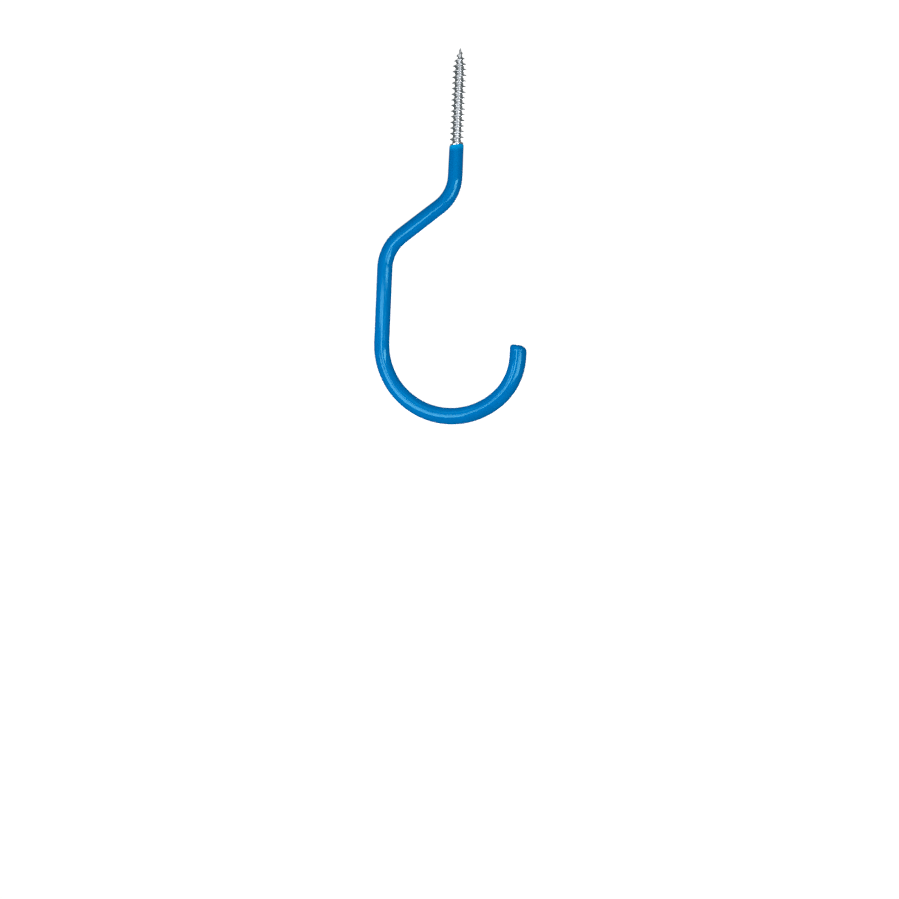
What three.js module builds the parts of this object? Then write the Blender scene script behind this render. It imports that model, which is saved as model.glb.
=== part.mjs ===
// A screw-in storage hook: one steel rod with a wood-screw thread rolled on its top end, bent into a
// sideways step and a round bowl, and dipped in vinyl from just under the thread to over its tip.
//
// Millimetres. The origin is on the screw's axis, level with the underside of the beam it is driven into.
// +Z runs up the screw, and every bend lies in the XZ plane, with the leg at -X and the tip at +X.
import * as THREE from 'three';

// ---- Driving dimensions -------------------------------------------------------------------------

// Steel rod: a quarter-inch bar.
const ROD_RADIUS = 3.175;
const ROD_END_CHAMFER = 0.4;

// Bends, all on the rod's centreline. Drops are measured down from the beam's underside.
const SLOPE_CORNER_DROP = 29.8;
const SLOPE_ANGLE = 51.4;
const LEG_OFFSET = 34.3;
const UPPER_BEND_RADIUS = 19.4;
const LOWER_BEND_RADIUS = 20.4;
const BOWL_DROP = 104.4;
const BOWL_RADIUS = 36.1;
const BOWL_ANGLE = 130.5;
const TIP_BEND_RADIUS = 29.7;
const TIP_DROP = 103.6;

// Rolled wood-screw thread.
const THREAD_PITCH = 2.82;
const THREAD_CREST_RADIUS = 3.5;
const THREAD_ROOT_RADIUS = 2.15;
const THREAD_START_DROP = 4.5;
const THREAD_TURNS = 17;
const THREAD_RUN_IN = 1.6;
const POINT_LENGTH = 9;
const POINT_RADIUS = 0.3;
const POINT_APEX = 0.6;
// One pitch of thread: how far up the pitch each edge lies, and how much of the ridge's height it has.
const THREAD_PROFILE = [
  { rise: 0, height: 0 },
  { rise: 0.42, height: 0 },
  { rise: 0.67, height: 1 },
  { rise: 0.77, height: 1 },
];

// Vinyl dip coating, which thickens towards the bowl because the hook hangs from its screw as it drains.
const COAT_TOP_DROP = 4.8;
const COAT_BORE_GAP = 0.05;
const COAT_TIP_WALL = 1.6;
const COAT_TIP_ROUNDING = 2.2;
const COAT_RADIUS = { top: 3.58, shank: 3.72, upperBend: 3.95, slope: 4.12, leg: 3.95, bowl: 4.33 };

// Facets.
const ROUND_STEPS = 20;
const THREAD_START_STEP = 8;
const STEPS = { upperBend: 6, lowerBend: 6, bowl: 18, tipBend: 6, tipRounding: 3 };

// ---- The rod's centreline -----------------------------------------------------------------------

const radians = THREE.MathUtils.degToRad;
const mix = THREE.MathUtils.lerp;

// Length of straight rod that a bend takes up on each side of its corner.
function cornerSetback(radius, angle) {
  return radius * Math.tan(radians(angle) / 2);
}

// The bending schedule, from the top of the coating to the rod's tip. A straight has a length; a bend
// has a radius and an angle, positive towards +X while the rod runs down. coat is the coating's outer
// radius where the move ends.
function bendingSchedule() {
  const upperSetback = cornerSetback(UPPER_BEND_RADIUS, SLOPE_ANGLE);
  const lowerSetback = cornerSetback(LOWER_BEND_RADIUS, SLOPE_ANGLE);
  const slopeLength = LEG_OFFSET / Math.sin(radians(SLOPE_ANGLE));
  const legCornerDrop = SLOPE_CORNER_DROP + LEG_OFFSET / Math.tan(radians(SLOPE_ANGLE));
  const tipBendAngle = 180 - BOWL_ANGLE;
  const tipBendDrop = BOWL_DROP + (BOWL_RADIUS - TIP_BEND_RADIUS) * Math.sin(radians(tipBendAngle));
  return [
    { length: SLOPE_CORNER_DROP - COAT_TOP_DROP - upperSetback, coat: COAT_RADIUS.shank },
    { radius: UPPER_BEND_RADIUS, angle: -SLOPE_ANGLE, steps: STEPS.upperBend, coat: COAT_RADIUS.upperBend },
    { length: slopeLength - upperSetback - lowerSetback, coat: COAT_RADIUS.slope },
    { radius: LOWER_BEND_RADIUS, angle: SLOPE_ANGLE, steps: STEPS.lowerBend, coat: COAT_RADIUS.leg },
    { length: BOWL_DROP - legCornerDrop - lowerSetback, coat: COAT_RADIUS.leg },
    { radius: BOWL_RADIUS, angle: BOWL_ANGLE, steps: STEPS.bowl, coat: COAT_RADIUS.bowl },
    { radius: TIP_BEND_RADIUS, angle: tipBendAngle, steps: STEPS.tipBend, coat: COAT_RADIUS.bowl },
    { length: tipBendDrop - TIP_DROP - COAT_TIP_WALL, coat: COAT_RADIUS.bowl },
  ];
}

// Walks the schedule and returns the stations where the rod's section is drawn. heading is the
// direction of travel, in degrees from straight down, turning towards +X.
function centreline() {
  let place = new THREE.Vector3(0, 0, -COAT_TOP_DROP);
  let heading = 0;
  let coat = COAT_RADIUS.top;
  const stations = [{ place, heading, coat }];
  for (const move of bendingSchedule()) {
    const steps = move.steps ?? 1;
    const turn = (move.angle ?? 0) / steps;
    const stride = move.length ?? 2 * move.radius * Math.sin(radians(Math.abs(turn)) / 2);
    const coatBefore = coat;
    for (let step = 1; step <= steps; step += 1) {
      place = place.clone().addScaledVector(travel(heading + turn / 2), stride);
      heading += turn;
      coat = mix(coatBefore, move.coat, step / steps);
      stations.push({ place, heading, coat });
    }
  }
  return stations;
}

// Unit vector along the rod for a heading in degrees.
function travel(heading) {
  return new THREE.Vector3(Math.sin(radians(heading)), 0, -Math.cos(radians(heading)));
}

// A station moved along its own heading.
function advanced(station, distance) {
  return { ...station, place: station.place.clone().addScaledVector(travel(station.heading), distance) };
}

// ---- Closed skins -------------------------------------------------------------------------------

// Collects points and triangles into one closed body. Loops run anticlockwise seen from where they come
// from, so bridging a loop to the next one along the way faces outwards.
class Skin {
  positions = [];
  triangles = [];

  point(x, y, z) {
    this.positions.push(x, y, z);
    return this.positions.length / 3 - 1;
  }

  // A round section of the rod at a station.
  ring(station, radius) {
    const side = travel(station.heading + 90);
    const loop = [];
    for (let step = 0; step < ROUND_STEPS; step += 1) {
      const angle = (2 * Math.PI * step) / ROUND_STEPS;
      const across = radius * Math.cos(angle);
      const { x, z } = station.place;
      loop.push(this.point(x + across * side.x, radius * Math.sin(angle), z + across * side.z));
    }
    return loop;
  }

  quad(a, b, c, d) {
    this.triangles.push(a, b, c, a, c, d);
  }

  bridge(from, to) {
    for (let step = 0; step < from.length; step += 1) {
      const next = (step + 1) % from.length;
      this.quad(from[step], to[step], to[next], from[next]);
    }
  }

  // Rings bridged one after another.
  sleeve(loops) {
    for (let index = 1; index < loops.length; index += 1) {
      this.bridge(loops[index - 1], loops[index]);
    }
  }

  // Closes a loop onto one point.
  close(loop, apex) {
    for (let step = 0; step < loop.length; step += 1) {
      this.triangles.push(loop[step], apex, loop[(step + 1) % loop.length]);
    }
  }

  centre(station) {
    return this.point(station.place.x, station.place.y, station.place.z);
  }

  geometry() {
    const geometry = new THREE.BufferGeometry();
    geometry.setAttribute('position', new THREE.Float32BufferAttribute(this.positions, 3));
    geometry.setIndex(this.triangles);
    geometry.computeVertexNormals();
    return geometry;
  }
}

// ---- Thread -------------------------------------------------------------------------------------

// Radii of the thread's root and crest at a height above the thread's start. Both begin at the rod's own
// radius, and both shrink to a gimlet point at the top.
function threadRadii(height) {
  const runIn = Math.min(height / THREAD_RUN_IN, 1);
  const pointStart = THREAD_TURNS * THREAD_PITCH - POINT_LENGTH;
  const towardsPoint = THREE.MathUtils.clamp((height - pointStart) / POINT_LENGTH, 0, 1);
  const root = mix(mix(ROD_RADIUS, THREAD_ROOT_RADIUS, runIn), POINT_RADIUS, towardsPoint);
  const crest = mix(mix(ROD_RADIUS, THREAD_CREST_RADIUS, runIn), POINT_RADIUS, towardsPoint);
  return { root, crest };
}

// Adds the right-hand thread on top of the rod's top ring. Each row of points follows the helix, so a row
// that has gone once round meets the row one pitch above it.
function addThread(skin, rodTop) {
  const rowsPerPitch = THREAD_PROFILE.length;
  const rowCount = rowsPerPitch * (THREAD_TURNS - 1) + 1;
  const rows = [];
  for (let index = 0; index < rowCount; index += 1) {
    rows.push(threadRow(skin, index));
  }

  const lastStep = ROUND_STEPS - 1;
  for (let index = 0; index + 1 < rowCount; index += 1) {
    const [low, high] = [rows[index], rows[index + 1]];
    for (let step = 0; step < lastStep; step += 1) {
      skin.quad(low[step], low[step + 1], high[step + 1], high[step]);
    }
    const [lowAround, highAround] = [rows[index + rowsPerPitch], rows[index + rowsPerPitch + 1]];
    if (highAround) {
      skin.quad(low[lastStep], lowAround[0], highAround[0], high[lastStep]);
    }
  }

  // Bottom: from the rod's ring to the first row, which climbs one pitch in going round.
  const foot = rows[0];
  const seat = rodTop.map((_, step) => rodTop[(step + THREAD_START_STEP) % ROUND_STEPS]);
  for (let step = 0; step < lastStep; step += 1) {
    skin.quad(seat[step], seat[step + 1], foot[step + 1], foot[step]);
  }
  const climb = [seat[lastStep], seat[0], ...rows.slice(0, rowsPerPitch + 1).map((row) => row[0])];
  for (let index = 1; index < climb.length; index += 1) {
    skin.triangles.push(foot[lastStep], climb[index - 1], climb[index]);
  }

  // Top: the last row and the open end of the rows below it close onto the point.
  const rim = [...rows[rowCount - 1]];
  for (let back = 1; back <= rowsPerPitch; back += 1) {
    rim.push(rows[rowCount - 1 - back][lastStep]);
  }
  const apex = skin.point(0, 0, THREAD_TURNS * THREAD_PITCH - THREAD_START_DROP + POINT_APEX);
  skin.close(rim.reverse(), apex);
}

// One row of the thread's surface: an edge of the profile, followed once round the helix.
function threadRow(skin, index) {
  const edge = THREAD_PROFILE[index % THREAD_PROFILE.length];
  const pitchesUp = Math.floor(index / THREAD_PROFILE.length) + edge.rise;
  const row = [];
  for (let step = 0; step < ROUND_STEPS; step += 1) {
    const angle = (2 * Math.PI * (step + THREAD_START_STEP)) / ROUND_STEPS;
    const height = THREAD_PITCH * (pitchesUp + step / ROUND_STEPS);
    const { root, crest } = threadRadii(height);
    const radius = mix(root, crest, edge.height);
    row.push(skin.point(radius * Math.cos(angle), radius * Math.sin(angle), height - THREAD_START_DROP));
  }
  return row;
}

// ---- Pieces -------------------------------------------------------------------------------------

// The bent rod and its thread: one piece of steel.
function steelHookRod(stations) {
  const skin = new Skin();
  const neck = advanced(stations[0], COAT_TOP_DROP - THREAD_START_DROP);
  neck.place.z = -THREAD_START_DROP;
  const loops = [neck, ...stations].map((station) => skin.ring(station, ROD_RADIUS));

  const last = stations.at(-1);
  const chamferStart = advanced(last, -ROD_END_CHAMFER);
  loops.pop();
  loops.push(skin.ring(chamferStart, ROD_RADIUS), skin.ring(last, ROD_RADIUS - ROD_END_CHAMFER));
  skin.sleeve(loops);
  skin.close(loops.at(-1), skin.centre(last));
  addThread(skin, loops[0]);
  return skin.geometry();
}

// The vinyl: a skin that fits the rod, open at the top, where the thread begins, and closed over the tip.
function vinylCoating(stations) {
  const skin = new Skin();
  const rodEnd = stations.at(-1);
  const roundingStart = advanced(rodEnd, COAT_TIP_WALL - COAT_TIP_ROUNDING);
  const tipEnd = advanced(rodEnd, COAT_TIP_WALL);

  const outside = stations.slice(0, -1).map((station) => skin.ring(station, station.coat));
  for (let step = 0; step <= STEPS.tipRounding; step += 1) {
    const angle = (Math.PI / 2) * (step / STEPS.tipRounding);
    const station = advanced(roundingStart, COAT_TIP_ROUNDING * Math.sin(angle));
    outside.push(skin.ring(station, rodEnd.coat - COAT_TIP_ROUNDING * (1 - Math.cos(angle))));
  }
  skin.sleeve(outside);
  skin.close(outside.at(-1), skin.centre(tipEnd));

  const boreEnd = advanced(rodEnd, COAT_BORE_GAP);
  const boreStations = [...stations.slice(0, -1), boreEnd];
  const bore = boreStations.map((station) => skin.ring(station, ROD_RADIUS + COAT_BORE_GAP)).reverse();
  skin.close([...bore[0]].reverse(), skin.centre(boreEnd));
  skin.sleeve(bore);
  skin.bridge(bore.at(-1), outside[0]);
  return skin.geometry();
}

function piece(name, geometry, color, roughness, metalness) {
  const mesh = new THREE.Mesh(geometry, new THREE.MeshStandardMaterial({ color, roughness, metalness }));
  mesh.name = name;
  return mesh;
}

const stations = centreline();
const hook = new THREE.Group();
hook.add(piece('steel_hook_rod', steelHookRod(stations), 0xc8ccd0, 0.28, 1));
hook.add(piece('vinyl_coating', vinylCoating(stations), 0x0070b8, 0.32, 0));

export default hook;
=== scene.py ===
"""A screw-in bicycle storage hook: fine surfaces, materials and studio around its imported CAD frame.

Shapes are worked out in millimetres in the frame of the CAD part, and a mesh is made in metres. The origin
is on the screw's axis, level with the underside of the beam that the screw is driven into.
"""
import math

import bmesh
import bpy
import numpy as np
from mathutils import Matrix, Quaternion, Vector, noise


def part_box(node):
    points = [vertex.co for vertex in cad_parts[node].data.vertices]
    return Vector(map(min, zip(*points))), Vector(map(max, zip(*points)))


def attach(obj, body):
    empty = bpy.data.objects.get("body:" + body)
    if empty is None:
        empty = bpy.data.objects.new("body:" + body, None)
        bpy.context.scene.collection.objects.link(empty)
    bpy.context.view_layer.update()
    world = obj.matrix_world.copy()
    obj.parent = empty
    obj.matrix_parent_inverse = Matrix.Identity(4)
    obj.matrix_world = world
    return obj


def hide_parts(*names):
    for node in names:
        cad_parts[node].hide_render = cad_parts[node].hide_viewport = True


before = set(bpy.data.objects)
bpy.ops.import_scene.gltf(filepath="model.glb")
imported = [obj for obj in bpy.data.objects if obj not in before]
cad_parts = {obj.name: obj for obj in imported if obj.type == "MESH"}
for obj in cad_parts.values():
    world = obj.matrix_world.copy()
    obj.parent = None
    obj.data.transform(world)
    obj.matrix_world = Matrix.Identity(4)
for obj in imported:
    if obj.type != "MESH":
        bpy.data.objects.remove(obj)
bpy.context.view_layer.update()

MM = 0.001

ROD_NODE = "steel_hook_rod"
COAT_NODE = "vinyl_coating"
ROD_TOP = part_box(ROD_NODE)[1].z / MM
COAT_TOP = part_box(COAT_NODE)[1].z / MM
COAT_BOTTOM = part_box(COAT_NODE)[0].z / MM

# ---- Driving dimensions, in millimetres and degrees, as the CAD part has them ------------------------

ROD_RADIUS = 3.175
ROD_END_CHAMFER = 0.4
SLOPE_CORNER_DROP = 29.8
SLOPE_ANGLE = 51.4
LEG_OFFSET = 34.3
UPPER_BEND_RADIUS = 19.4
LOWER_BEND_RADIUS = 20.4
BOWL_DROP = 104.4
BOWL_RADIUS = 36.1
BOWL_ANGLE = 130.5
TIP_BEND_RADIUS = 29.7
TIP_DROP = 103.6
COAT_RADIUS = {"top": 3.58, "shank": 3.72, "upper_bend": 3.95, "slope": 4.12, "leg": 3.95, "bowl": 4.33}
COAT_TIP_WALL = 1.6
COAT_BORE_GAP = 0.05

# ---- Shape details that the fine surfaces add, in millimetres and degrees ------------------------------

# Points round the rod, steps along it, and the lengths over which a bend and a change of radius are eased.
ROUND_STEPS = 72
PATH_STEP = 0.1
RING_SPACING = 0.65
HIDDEN_RING_SPACING = 2.5
BEND_EASING = 3.0
COAT_EASING = 12.0

# The coating's upper edge: it leans with the first turn of the thread and rolls over onto the rod.
LIP_HEIGHT = -4.65
LIP_LEAN = 0.55
LIP_ROUNDING = 0.8
LIP_ROWS = 8
BORE_START = 1.5

# Below the lip, a zone with a ragged lower edge is painted lighter: a painted sheen of the light from
# above on the lip's rolled shoulder.
LIP_SHEEN_DEPTH = 2.2
LIP_SHEEN_WANDER = LIP_SHEEN_DEPTH / 3
LIP_SHEEN_COLOUR = (0.000, 0.220, 0.500, 1)

# The coated tip: its end face leans outwards and its edge is rounder on the outer side.
TIP_LEAN = 7
TIP_LEAN_LENGTH = 6.0
TIP_ROUNDING = 2.4
TIP_ROUNDING_SPREAD = 0.5
TIP_CROWN = 0.25
TIP_ROWS = 14
TIP_FACE_ROWS = 5

# Unevenness of the dipped skin: waves, each with a height and so many to a millimetre, a sag that starts
# along the first stretch of the bowl, and one pimple on the slope.
WAVES = ((0.035, 0.05), (0.003, 0.22))
SAG = 0.10
SAG_RUN_IN = 10
PIMPLE_ALONG = 37.7
PIMPLE_ANGLE = 268
PIMPLE_SIZE = 0.9
PIMPLE_HEIGHT = 0.10

# The rolled wood-screw thread. Its crest's width and its flank's run are in pitches.
THREAD_PITCH = 2.82
THREAD_CREST_RADIUS = 3.5
THREAD_ROOT_RADIUS = 2.15
THREAD_ROWS = 18
THREAD_FIRST_CREST = -3.7
THREAD_CREST_WIDTH = 0.08
THREAD_FLANK = 0.25
THREAD_ROUNDNESS = 0.6
THREAD_ROOT_RUN_IN = 0.9
THREAD_CREST_RUN_IN = 0.6
THREAD_BOTTOM = -5.8
THREAD_WAVE = 0.035
THREAD_WAVES_PER_MM = 0.9
POINT_LENGTH = 9.6
POINT_RADIUS = 0.14
POINT_CAP = 0.12
POINT_TAPER = 1.25


def smooth(value):
    """0 below 0, 1 above 1, and an S-curve in between."""
    t = min(max(value, 0.0), 1.0)
    return t * t * (3 - 2 * t)


def mix(a, b, share):
    """a where the share is 0, b where it is 1, and evenly in between."""
    return a + (b - a) * share


# ---- The rod's centreline --------------------------------------------------------------------------

def setback(radius, turn):
    """Length of straight rod that a bend takes up on each side of its corner."""
    return radius * math.tan(math.radians(turn) / 2)


def bending_schedule():
    """The rod's moves below the coating's top: length, turn, and the coating's radius at the end.

    A turn is positive towards +X while the rod runs down.
    """
    upper = setback(UPPER_BEND_RADIUS, SLOPE_ANGLE)
    lower = setback(LOWER_BEND_RADIUS, SLOPE_ANGLE)
    slope = math.radians(SLOPE_ANGLE)
    leg_corner_drop = SLOPE_CORNER_DROP + LEG_OFFSET / math.tan(slope)
    tip_turn = 180 - BOWL_ANGLE
    tip_bend_drop = BOWL_DROP + (BOWL_RADIUS - TIP_BEND_RADIUS) * math.sin(math.radians(tip_turn))

    def straight(length, coat):
        return length, 0, COAT_RADIUS[coat]

    def bend(radius, turn, coat):
        return radius * math.radians(abs(turn)), turn, COAT_RADIUS[coat]

    return [
        straight(SLOPE_CORNER_DROP + COAT_TOP - upper, "shank"),
        bend(UPPER_BEND_RADIUS, -SLOPE_ANGLE, "upper_bend"),
        straight(LEG_OFFSET / math.sin(slope) - upper - lower, "slope"),
        bend(LOWER_BEND_RADIUS, SLOPE_ANGLE, "leg"),
        straight(BOWL_DROP - leg_corner_drop - lower, "leg"),
        bend(BOWL_RADIUS, BOWL_ANGLE, "bowl"),
        bend(TIP_BEND_RADIUS, tip_turn, "bowl"),
        straight(tip_bend_drop - TIP_DROP - COAT_TIP_WALL, "bowl"),
    ]


def moving_average(values, width):
    """The values averaged over a window of that width in millimetres, with the ends held."""
    reach = int(round(width / PATH_STEP / 2))
    padded = np.pad(values, reach, mode="edge")
    window = np.ones(2 * reach + 1) / (2 * reach + 1)
    return np.convolve(padded, window, mode="valid")


class Centreline:
    """The rod's bent line from the coating's top edge to the rod's end, and the coating's radius on it."""

    def __init__(self):
        moves = bending_schedule()
        ends = np.cumsum([0] + [length for length, _, _ in moves])
        headings = np.cumsum([0] + [turn for _, turn, _ in moves])
        coats = [COAT_RADIUS["top"]] + [coat for _, _, coat in moves]
        self.length = ends[-1]
        self.along = np.arange(0, self.length + PATH_STEP / 2, PATH_STEP)
        self.heading = np.radians(moving_average(np.interp(self.along, ends, headings), BEND_EASING))
        self.coat = moving_average(np.interp(self.along, ends, coats), COAT_EASING)
        middle = (self.heading[1:] + self.heading[:-1]) / 2
        self.x = np.concatenate([[0], np.cumsum(np.sin(middle) * PATH_STEP)])
        self.z = COAT_TOP - np.concatenate([[0], np.cumsum(np.cos(middle) * PATH_STEP)])

    def station(self, along):
        """Place, heading in radians and coating radius at a distance; straight on beyond the ends."""
        inside = min(max(along, 0.0), self.along[-1])
        heading = float(np.interp(inside, self.along, self.heading))
        beyond = along - inside
        place = Vector((
            float(np.interp(inside, self.along, self.x)) + math.sin(heading) * beyond,
            0,
            float(np.interp(inside, self.along, self.z)) - math.cos(heading) * beyond,
        ))
        return place, heading, float(np.interp(inside, self.along, self.coat))

    def point(self, along, radius, angle):
        """A point at a distance along the rod, at a radius from its axis and an angle round it."""
        place, heading, _ = self.station(along)
        return place + outwards(heading, angle) * radius


def outwards(heading, angle):
    """The direction away from the rod's axis at an angle round the rod, where the rod has a heading."""
    across = math.cos(angle)
    return Vector((math.cos(heading) * across, math.sin(angle), math.sin(heading) * across))


def spaced(start, end, spacing):
    """Distances from start to end, both included, no further apart than the spacing."""
    return np.linspace(start, end, int(math.ceil((end - start) / spacing)) + 1)


ANGLES = [2 * math.pi * step / ROUND_STEPS for step in range(ROUND_STEPS)]


# ---- Closed surfaces -------------------------------------------------------------------------------

class Skin:
    """Collects the points and faces of one closed surface.

    Beside its place, a point keeps where it would lie if the rod were straight, and how worn it is.
    """

    def __init__(self):
        self.points = []
        self.straightened = []
        self.wear = []
        self.faces = []

    def add(self, point, along, angle, radius, wear=0.0):
        self.points.append(point * MM)
        self.straightened.append((radius * math.cos(angle), radius * math.sin(angle), along))
        self.wear.append(wear)
        return len(self.points) - 1

    def ring(self, line, along, radius):
        """Points round the rod, all at one distance along it and one radius."""
        return [self.add(line.point(along, radius, angle), along, angle, radius) for angle in ANGLES]

    def face(self, *corners):
        """A face, unless so many of its corners are one point that nothing is left of it."""
        unlike = list(dict.fromkeys(corners))
        if len(unlike) > 2:
            self.faces.append(unlike)

    def bridge(self, loop, following):
        """Faces between a ring and the next."""
        for step in range(len(loop)):
            after = (step + 1) % len(loop)
            self.face(loop[step], loop[after], following[after], following[step])

    def sleeve(self, loops):
        """Faces from each ring to the next, all along a row of rings."""
        for loop, following in zip(loops, loops[1:]):
            self.bridge(loop, following)

    def close(self, loop, apex):
        """Faces from a ring to the one point that closes it."""
        for step in range(len(loop)):
            self.face(loop[step], loop[(step + 1) % len(loop)], apex)

    def make(self, name):
        """The finished object, riding on the part's one body."""
        mesh = bpy.data.meshes.new(name)
        mesh.from_pydata(self.points, [], self.faces)
        work = bmesh.new()
        work.from_mesh(mesh)
        bmesh.ops.recalc_face_normals(work, faces=work.faces)
        work.to_mesh(mesh)
        work.free()
        mesh.shade_smooth()
        straightened = mesh.attributes.new("straightened", "FLOAT_VECTOR", "POINT")
        straightened.data.foreach_set("vector", np.ravel(self.straightened).astype(np.float32))
        wear = mesh.attributes.new("wear", "FLOAT", "POINT")
        wear.data.foreach_set("value", np.array(self.wear, np.float32))
        piece = bpy.data.objects.new(name, mesh)
        bpy.context.scene.collection.objects.link(piece)
        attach(piece, "root")
        return piece


# ---- The steel rod and its thread --------------------------------------------------------------------

def lip_height(angle):
    """Height of the coating's upper edge at an angle round the rod."""
    return LIP_HEIGHT + LIP_LEAN * math.cos(angle)


def ridge_share(turns):
    """How much of the thread's ridge stands at a number of pitches from a crest's middle."""
    away = abs(turns - round(turns))
    share = min(max((THREAD_CREST_WIDTH / 2 + THREAD_FLANK - away) / THREAD_FLANK, 0.0), 1.0)
    return mix(share, smooth(share), THREAD_ROUNDNESS)


def thread_radius(height, angle, turns):
    """Radius of the thread's surface, and the ridge's share of it, turns pitches from a crest."""
    above_lip = height - lip_height(angle)
    root = mix(ROD_RADIUS, THREAD_ROOT_RADIUS, smooth(above_lip / THREAD_ROOT_RUN_IN))
    crest = mix(ROD_RADIUS, THREAD_CREST_RADIUS, smooth(above_lip / THREAD_CREST_RUN_IN))
    towards_point = min(max(1 - (ROD_TOP - POINT_CAP - height) / POINT_LENGTH, 0.0), 1.0)
    root = mix(root, POINT_RADIUS, towards_point)
    crest = mix(crest, POINT_RADIUS, towards_point ** POINT_TAPER)
    share = ridge_share(turns)
    around = Vector((math.cos(angle), math.sin(angle), height)) * THREAD_WAVES_PER_MM
    uneven = THREAD_WAVE * noise.noise(around) * share * (1 - towards_point) * smooth(above_lip)
    return mix(root, crest, share) + uneven, share


def add_thread(skin):
    """Adds the right-hand thread and returns its lowest ring.

    Rows of points follow the helix, so the ridge stays crisp. A row that has gone once round meets the
    row one pitch above it, and rows are cut off level at the bottom and at the point.
    """
    top = ROD_TOP - POINT_CAP
    first_row = int(math.floor((THREAD_BOTTOM - THREAD_FIRST_CREST) / THREAD_PITCH - 1)) * THREAD_ROWS
    last_row = int(math.ceil((top - THREAD_FIRST_CREST) / THREAD_PITCH)) * THREAD_ROWS
    made = {}

    def corner(column, row):
        if column == ROUND_STEPS:
            column, row = 0, row + THREAD_ROWS
        turns = row / THREAD_ROWS
        height = THREAD_FIRST_CREST + THREAD_PITCH * (turns + column / ROUND_STEPS)
        level = min(max(height, THREAD_BOTTOM), top)
        key = (column, level if level != height else row)
        if key not in made:
            turns -= (height - level) / THREAD_PITCH
            radius, share = thread_radius(level, ANGLES[column], turns)
            around = Vector((math.cos(ANGLES[column]), math.sin(ANGLES[column]), 0))
            point = around * radius + Vector((0, 0, level))
            made[key] = skin.add(point, COAT_TOP - level, ANGLES[column], radius, share)
        return made[key]

    for row in range(first_row, last_row):
        for column in range(ROUND_STEPS):
            skin.face(
                corner(column, row),
                corner(column + 1, row),
                corner(column + 1, row + 1),
                corner(column, row + 1),
            )
    apex = skin.add(Vector((0, 0, ROD_TOP)), COAT_TOP - ROD_TOP, 0, 0)
    skin.close([made[column, top] for column in range(ROUND_STEPS)], apex)
    return [made[column, THREAD_BOTTOM] for column in range(ROUND_STEPS)]


def steel_rod(line):
    """The bent rod, all one piece with its thread, down to the chamfered end inside the coated tip."""
    skin = Skin()
    loops = [add_thread(skin)]
    chamfer_start = line.length - ROD_END_CHAMFER
    for along in spaced(COAT_TOP - THREAD_BOTTOM, chamfer_start, HIDDEN_RING_SPACING)[1:]:
        loops.append(skin.ring(line, along, ROD_RADIUS))
    loops.append(skin.ring(line, line.length, ROD_RADIUS - ROD_END_CHAMFER))
    skin.sleeve(loops)
    skin.close(loops[-1], skin.add(line.point(line.length, 0, 0), line.length, 0, 0))
    return skin.make("threaded_steel_rod")


# ---- The vinyl coating -------------------------------------------------------------------------------

def coat_radius(line, along, angle):
    """Outer radius of the dipped skin: its nominal size, and what draining and setting did to it."""
    place, heading, radius = line.station(along)
    side = outwards(heading, angle)
    surface = place + side * radius
    waves = sum(height * noise.noise(surface * per_mm) for height, per_mm in WAVES)
    in_bowl = smooth((-BOWL_DROP - place.z) / SAG_RUN_IN)
    sag = SAG * in_bowl * max(-side.z, 0.0) ** 2
    across = (angle - math.radians(PIMPLE_ANGLE)) * radius
    distance = math.hypot(along - PIMPLE_ALONG, across) / PIMPLE_SIZE
    return radius + waves + sag + PIMPLE_HEIGHT * math.exp(-distance * distance)


def add_lip(skin, line, bore_radius):
    """Rings over the coating's rolled upper edge, from the bore to the outer skin."""
    loops = []
    for row in range(LIP_ROWS + 1):
        roll = math.pi / 2 * row / LIP_ROWS
        loop = []
        for angle in ANGLES:
            outer = coat_radius(line, LIP_ROUNDING, angle)
            radius = mix(bore_radius, outer, math.sin(roll))
            along = COAT_TOP - lip_height(angle) + LIP_ROUNDING * (1 - math.cos(roll))
            loop.append(skin.add(line.point(along, radius, angle), along, angle, radius))
        loops.append(loop)
    return loops


def add_tip(skin, line, tip_start):
    """Rings over the coated tip, from the outer skin to the middle of the end face."""
    tip_end = line.length + COAT_TIP_WALL
    rounded = [math.pi / 2 * row / TIP_ROWS for row in range(1, TIP_ROWS + 1)]
    face = [1 - row / TIP_FACE_ROWS for row in range(1, TIP_FACE_ROWS)]
    loops = []
    for turn, share in [(turn, 1.0) for turn in rounded] + [(math.pi / 2, share) for share in face]:
        loop = []
        for angle in ANGLES:
            rounding = TIP_ROUNDING - TIP_ROUNDING_SPREAD * math.cos(angle)
            outer = coat_radius(line, tip_start, angle)
            radius = (outer - rounding * (1 - math.cos(turn))) * share
            along = tip_end - TIP_CROWN * smooth(radius / outer) - rounding * (1 - math.sin(turn))
            loop.append(skin.add(leaning_point(line, along, radius, angle), along, angle, radius))
        loops.append(loop)
    return loops, skin.add(leaning_point(line, tip_end, 0, 0), tip_end, 0, 0)


def leaning_point(line, along, radius, angle):
    """A point of the skin near the tip, where the end face's lean shortens the outer side."""
    from_end = line.length + COAT_TIP_WALL - along
    lean = math.tan(math.radians(TIP_LEAN)) * smooth(1 - from_end / TIP_LEAN_LENGTH)
    return line.point(along + lean * radius * math.cos(angle), radius, angle)


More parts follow.
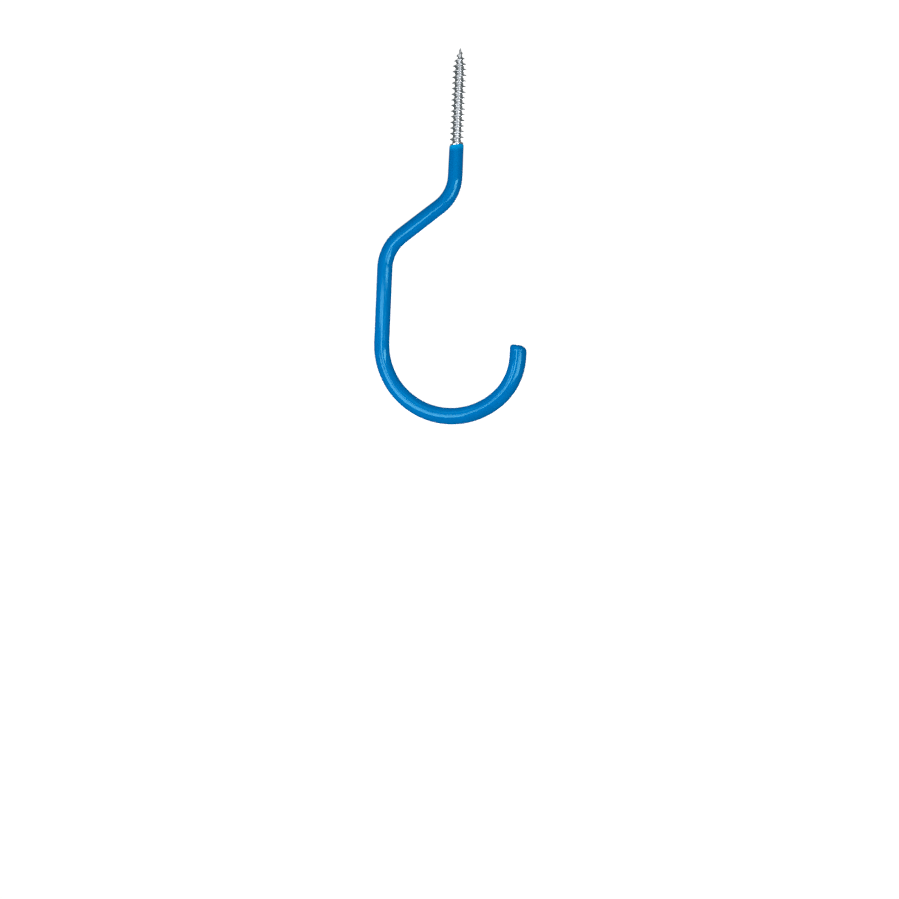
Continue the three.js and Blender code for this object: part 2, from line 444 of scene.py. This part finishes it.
def vinyl_coating(line):
    """The dipped skin: open at the top, where the thread begins, and closed over the tip."""
    skin = Skin()
    bore_radius = ROD_RADIUS + COAT_BORE_GAP
    bore_end = line.length + COAT_BORE_GAP

    upwards = spaced(BORE_START, bore_end, HIDDEN_RING_SPACING)[::-1]
    bore = [skin.ring(line, along, bore_radius) for along in upwards]
    skin.close(bore[0], skin.add(line.point(bore_end, 0, 0), bore_end, 0, 0))

    lip = add_lip(skin, line, bore_radius)
    skin_start = COAT_TOP - LIP_HEIGHT + LIP_LEAN + LIP_ROUNDING + RING_SPACING
    tip_start = line.length + COAT_TIP_WALL - TIP_ROUNDING - TIP_ROUNDING_SPREAD - TIP_CROWN
    outside = []
    for along in spaced(skin_start, tip_start, RING_SPACING):
        ring = []
        for angle in ANGLES:
            radius = coat_radius(line, along, angle)
            ring.append(skin.add(leaning_point(line, along, radius, angle), along, angle, radius))
        outside.append(ring)
    tip, apex = add_tip(skin, line, tip_start)
    skin.sleeve(bore + lip + outside + tip)
    skin.close(tip[-1], apex)
    return skin.make("blue_vinyl_dip")


# ---- Materials -----------------------------------------------------------------------------------------

# Both materials take their coordinates from the straightened rod, in millimetres. A bump's distance is in
# metres, and colours are linear.
MICRON = 0.000001
VINYL_REFRACTION = 1.5
VINYL_HIGHLIGHT_TINT = (0.28, 0.90, 1.0, 1)


class Nodes:
    """A short way to write a node tree."""

    def __init__(self, name):
        self.material = bpy.data.materials.new(name)
        self.material.use_nodes = True
        self.tree = self.material.node_tree
        self.tree.nodes.clear()

    def add(self, kind, inputs=None, **settings):
        node = self.tree.nodes.new(kind)
        for key, value in settings.items():
            setattr(node, key, value)
        for key, value in (inputs or {}).items():
            if isinstance(value, bpy.types.NodeSocket):
                self.tree.links.new(value, node.inputs[key])
            else:
                node.inputs[key].default_value = value
        return node

    def attribute(self, name):
        return self.add("ShaderNodeAttribute", attribute_name=name)

    def scaled(self, vector, scale):
        """The vector stretched by a scale along each axis."""
        return self.add("ShaderNodeVectorMath", {0: vector, 1: scale}, operation="MULTIPLY").outputs[0]

    def noise(self, vector, scale, detail=3.0, roughness=0.55):
        """Smooth noise from 0 to 1, with about so many patches to each unit of the vector."""
        inputs = {"Vector": vector, "Scale": scale, "Detail": detail, "Roughness": roughness}
        return self.add("ShaderNodeTexNoise", inputs).outputs[0]

    def span(self, value, low, high, to_low, to_high):
        """The value from low to high, turned into another range by an S-curve and held at its ends."""
        inputs = {0: value, 1: low, 2: high, 3: to_low, 4: to_high}
        return self.add("ShaderNodeMapRange", inputs, interpolation_type="SMOOTHSTEP").outputs[0]

    def blend(self, share, one, other):
        """Colour one where the share is 0 and the other where it is 1."""
        node = self.add("ShaderNodeMix", data_type="RGBA")
        for index, value in ((0, share), (6, one), (7, other)):
            if isinstance(value, bpy.types.NodeSocket):
                self.tree.links.new(value, node.inputs[index])
            else:
                node.inputs[index].default_value = value
        return node.outputs[2]

    def maths(self, operation, one, other):
        return self.add("ShaderNodeMath", {0: one, 1: other}, operation=operation).outputs[0]

    def bump(self, height, distance, strength, below=None):
        """A bump of a height from 0 to 1 times a distance in metres, mixed in by a strength."""
        inputs = {"Height": height, "Distance": distance, "Strength": strength}
        if below is not None:
            inputs["Normal"] = below
        return self.add("ShaderNodeBump", inputs).outputs[0]

    def finish(self, shader):
        output = self.add("ShaderNodeOutputMaterial")
        self.tree.links.new(shader, output.inputs[0])
        return self.material


def vinyl_material():
    """Blue plastisol: mottled where it ran thick and thin, drawn out along the rod, with a fine peel and a
    painted sheen below the lip.
    """
    nodes = Nodes("blue_vinyl")
    place = nodes.attribute("straightened").outputs["Vector"]
    drained = nodes.scaled(place, (1.0, 1.0, 0.16))

    thickness = nodes.noise(drained, 0.42, detail=4)
    mottle = nodes.noise(place, 1.6, detail=5, roughness=0.6)
    thin = (0.000, 0.097, 0.292, 1)
    thick = (0.000, 0.107, 0.318, 1)
    pale = (0.000, 0.124, 0.350, 1)
    body = nodes.blend(nodes.span(thickness, 0.36, 0.64, 0, 1), thin, thick)
    skin_colour = nodes.blend(nodes.span(mottle, 0.52, 0.78, 0, 0.35), body, pale)

    # Below the lip the colour is painted lighter: a painted sheen of the light from above on the lip's
    # rolled shoulder.
    lean = (LIP_LEAN / COAT_RADIUS["top"], 0, 1)
    along_leaning = nodes.add("ShaderNodeVectorMath", {0: place, 1: lean}, operation="DOT_PRODUCT")
    wander = nodes.span(mottle, 0.3, 0.7, -LIP_SHEEN_WANDER, LIP_SHEEN_WANDER)
    ragged = nodes.maths("ADD", along_leaning.outputs["Value"], wander)
    lip_end = COAT_TOP - LIP_HEIGHT + LIP_ROUNDING
    painted_lip_sheen = nodes.span(ragged, lip_end, lip_end + LIP_SHEEN_DEPTH, 1, 0)
    colour = nodes.blend(painted_lip_sheen, skin_colour, LIP_SHEEN_COLOUR)

    handling = nodes.noise(drained, 0.9, detail=6, roughness=0.65)
    grain = nodes.noise(place, 5.5, detail=2)
    smear = nodes.span(handling, 0.35, 0.7, 0.08, 0.14)
    roughness = nodes.maths("ADD", smear, nodes.span(grain, 0.3, 0.7, -0.015, 0.015))

    runs = nodes.bump(nodes.noise(drained, 0.35, detail=2), 12 * MICRON, 0.5)
    peel = nodes.bump(nodes.noise(place, 1.15, detail=2), 1.6 * MICRON, 0.5, below=runs)
    skin = nodes.bump(nodes.noise(place, 6.0, detail=3), 0.2 * MICRON, 0.5, below=peel)

    shader = nodes.add("ShaderNodeBsdfPrincipled", {
        "Base Color": colour,
        "Roughness": roughness,
        "Normal": skin,
        "Metallic": 0.0,
        "IOR": VINYL_REFRACTION,
        "Specular Tint": VINYL_HIGHLIGHT_TINT,
    })
    return nodes.finish(shader.outputs[0])


def steel_material():
    """Bright zinc plate over a rolled thread: dull in the roots, burnished on the crests."""
    nodes = Nodes("zinc_steel")
    place = nodes.attribute("straightened").outputs["Vector"]
    wear = nodes.attribute("wear").outputs["Fac"]

    rolled = nodes.noise(nodes.scaled(place, (0.5, 0.5, 7.0)), 1.0, detail=4, roughness=0.6)
    cloud = nodes.noise(place, 1.1, detail=5, roughness=0.6)
    crystals = nodes.add("ShaderNodeTexVoronoi", {"Vector": place, "Scale": 1.9}).outputs["Distance"]
    dull = (0.60, 0.62, 0.65, 1)
    bright = (0.80, 0.82, 0.84, 1)
    bluish = (0.66, 0.72, 0.80, 1)
    plate = nodes.blend(nodes.span(cloud, 0.4, 0.65, 0, 0.5), bright, bluish)
    soiled = nodes.blend(nodes.span(rolled, 0.35, 0.7, 0, 0.55), plate, dull)
    colour = nodes.blend(nodes.span(wear, 0.55, 1.0, 0, 0.8), soiled, bright)

    scratched = nodes.span(rolled, 0.3, 0.7, 0.16, 0.30)
    burnished = nodes.span(wear, 0.6, 1.0, 0.0, 0.06)
    roughness = nodes.maths("SUBTRACT", scratched, burnished)

    lines = nodes.bump(rolled, 2 * MICRON, 0.5)
    grains = nodes.bump(crystals, 5 * MICRON, 0.4, below=lines)

    shader = nodes.add("ShaderNodeBsdfPrincipled", {
        "Base Color": colour,
        "Roughness": roughness,
        "Normal": grains,
        "Metallic": 1.0,
    })
    return nodes.finish(shader.outputs[0])


# ---- Camera, light and room ----------------------------------------------------------------------------

# Distances are in metres and angles in degrees, and a lens and its sensor are in millimetres, as usual.
CAMERA_AZIMUTH = 11.7
HANG_TILT = 2.41
CAMERA_DISTANCE = 1.053
CAMERA_LENS = 84.09
CAMERA_SENSOR = 36
CAMERA_RANGE = (0.01, 50)
AIM = Vector((2.99, -0.75, COAT_BOTTOM - 12.64)) * MM

FLOOR_HEIGHT = -1.2
FLOOR_RADIUS = 3.4
FLOOR_FADE = (0.35 * FLOOR_RADIUS, 0.97 * FLOOR_RADIUS)
FLOOR_CORNERS = 96
FLOOR_GLOW = 0.40
ROOM_GLOW = 0.30
ROOM_SHINE = 0.15
BACKGROUND = 1.05
LIGHT_DISTANCE = 2.4
RED_BLACK_LEVEL = 0.012


def studio_rotation():
    """From a camera that looks along +Y to the studio's own axes, about which the hook hangs tilted."""
    tilt = Quaternion((0, 1, 0), -math.radians(HANG_TILT))
    return tilt @ Quaternion((0, 0, 1), math.radians(CAMERA_AZIMUTH))


def camera():
    """Puts the camera at its distance from AIM, looking at it."""
    data = bpy.data.cameras.new("camera")
    data.lens = CAMERA_LENS
    data.sensor_width = CAMERA_SENSOR
    data.clip_start, data.clip_end = CAMERA_RANGE
    eye = bpy.data.objects.new("camera", data)
    turn = studio_rotation()
    eye.rotation_mode = "QUATERNION"
    eye.rotation_quaternion = turn @ Quaternion((1, 0, 0), math.pi / 2)
    eye.location = AIM - turn @ Vector((0, CAMERA_DISTANCE, 0))
    bpy.context.scene.collection.objects.link(eye)
    bpy.context.scene.camera = eye


def softbox(name, azimuths, elevations, radiance, distance=LIGHT_DISTANCE, shines=True):
    """A soft light that faces the hook and fills a range of azimuth and of elevation, in degrees.

    Azimuth runs from the camera's side to the right, and the distance is to the coating's middle. A light
    that doesn't shine leaves no highlight.
    """
    data = bpy.data.lights.new(name, "AREA")
    data.shape = "RECTANGLE"
    data.size = 2 * distance * math.tan(math.radians(azimuths[1] - azimuths[0]) / 2)
    data.size_y = 2 * distance * math.tan(math.radians(elevations[1] - elevations[0]) / 2)
    data.energy = math.pi * radiance * data.size * data.size_y
    light = bpy.data.objects.new(name, data)
    azimuth = math.radians(sum(azimuths) / 2)
    elevation = math.radians(sum(elevations) / 2)
    level = math.cos(elevation)
    towards = Vector((math.sin(azimuth) * level, -math.cos(azimuth) * level, math.sin(elevation)))
    towards = studio_rotation() @ towards
    centre = Vector((0, 0, (COAT_TOP + COAT_BOTTOM) / 2 * MM))
    light.location = centre + towards * distance
    light.rotation_mode = "QUATERNION"
    light.rotation_quaternion = towards.to_track_quat("Z", "Y")
    light.visible_glossy = shines
    bpy.context.scene.collection.objects.link(light)


def room():
    """A pale room: the background shows white, its light is dimmer, and its reflections dimmer still."""
    world = bpy.data.worlds.new("room")
    world.use_nodes = True
    tree = world.node_tree
    tree.nodes.clear()
    path = tree.nodes.new("ShaderNodeLightPath")
    strength = ROOM_GLOW
    for kind, level in (("Is Glossy Ray", ROOM_SHINE), ("Is Camera Ray", BACKGROUND)):
        choice = tree.nodes.new("ShaderNodeMix")
        tree.links.new(path.outputs[kind], choice.inputs[0])
        if isinstance(strength, bpy.types.NodeSocket):
            tree.links.new(strength, choice.inputs[2])
        else:
            choice.inputs[2].default_value = strength
        choice.inputs[3].default_value = level
        strength = choice.outputs[0]
    background = tree.nodes.new("ShaderNodeBackground")
    background.inputs["Color"].default_value = (1, 1, 1, 1)
    tree.links.new(strength, background.inputs["Strength"])
    output = tree.nodes.new("ShaderNodeOutputWorld")
    tree.links.new(background.outputs[0], output.inputs[0])
    bpy.context.scene.world = world


def floor():
    """A pale floor that fades out towards its rim, so no horizon shows."""
    nodes = Nodes("floor")
    place = nodes.add("ShaderNodeTexCoord").outputs["Object"]
    distance = nodes.add("ShaderNodeVectorMath", {0: place}, operation="LENGTH").outputs["Value"]
    fade = nodes.span(distance, *FLOOR_FADE, 0, 1)
    grey = (0.84, 0.84, 0.84, 1)
    pale = (0.88, 0.88, 0.88, 1)
    shade = nodes.blend(nodes.noise(place, 6.0), grey, pale)
    paint = nodes.add("ShaderNodeBsdfDiffuse", {"Color": shade})
    glow = nodes.add("ShaderNodeEmission", {"Color": shade, "Strength": FLOOR_GLOW})
    glowing = nodes.add("ShaderNodeAddShader", {0: paint.outputs[0], 1: glow.outputs[0]})
    clear = nodes.add("ShaderNodeBsdfTransparent")
    mixed = nodes.add("ShaderNodeMixShader", {0: fade, 1: glowing.outputs[0], 2: clear.outputs[0]})
    material = nodes.finish(mixed.outputs[0])

    mesh = bpy.data.meshes.new("floor")
    disc = bmesh.new()
    bmesh.ops.create_circle(disc, cap_ends=True, segments=FLOOR_CORNERS, radius=FLOOR_RADIUS)
    disc.to_mesh(mesh)
    disc.free()
    # The glow is there to be seen. It is too weak and wide to sample as a lamp.
    material.cycles.emission_sampling = "NONE"
    mesh.materials.append(material)
    ground = bpy.data.objects.new("floor", mesh)
    ground.location = (0, 0, FLOOR_HEIGHT)
    ground.visible_glossy = False
    bpy.context.scene.collection.objects.link(ground)


def studio():
    """The camera, the pale room and floor, and soft lights that stand where the photo's highlights ask."""
    camera()
    room()
    floor()
    softbox("right_front_softbox", (8, 23), (-20, -2.8), 4.4, distance=0.60)
    softbox("right_side_softbox", (23, 47), (-21, -2), 6.5, distance=0.70)
    softbox("right_upper_strip", (14, 52), (2.9, 10), 8.5, distance=0.35)
    softbox("left_slope_softbox", (-20, -6), (-15, -1.5), 6.2, distance=0.25)
    softbox("left_leg_strip", (-52, -3), (-1.5, 3.6), 5.0, distance=0.25)
    softbox("left_bowl_softbox", (-52, -20.5), (-33, -7), 6.0, distance=0.25)
    softbox("left_fill_panel", (-100, -50), (-25, 45), 1.1, shines=False)
    softbox("top_softbox", (-40, 10), (30, 60), 1.0)
    softbox("front_panel", (-35, 35), (0, 22), 0.45)
    softbox("rear_softbox", (162, 198), (-25, 12), 5.0, distance=0.7)
    colours()


def colours():
    """Plain display colours, with red cut off just above black, as it is where a camera's blue is deep."""
    settings = bpy.context.scene.view_settings
    settings.view_transform = "Standard"
    settings.use_curve_mapping = True
    settings.curve_mapping.black_level = (RED_BLACK_LEVEL, 0, 0)
    settings.curve_mapping.update()


# ---- The scene -----------------------------------------------------------------------------------------

def dress(piece, node, material):
    """Puts a fine piece in the place of its CAD node."""
    piece.data.materials.append(material)
    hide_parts(node)


studio()
hook_line = Centreline()
dress(steel_rod(hook_line), ROD_NODE, steel_material())
dress(vinyl_coating(hook_line), COAT_NODE, vinyl_material())
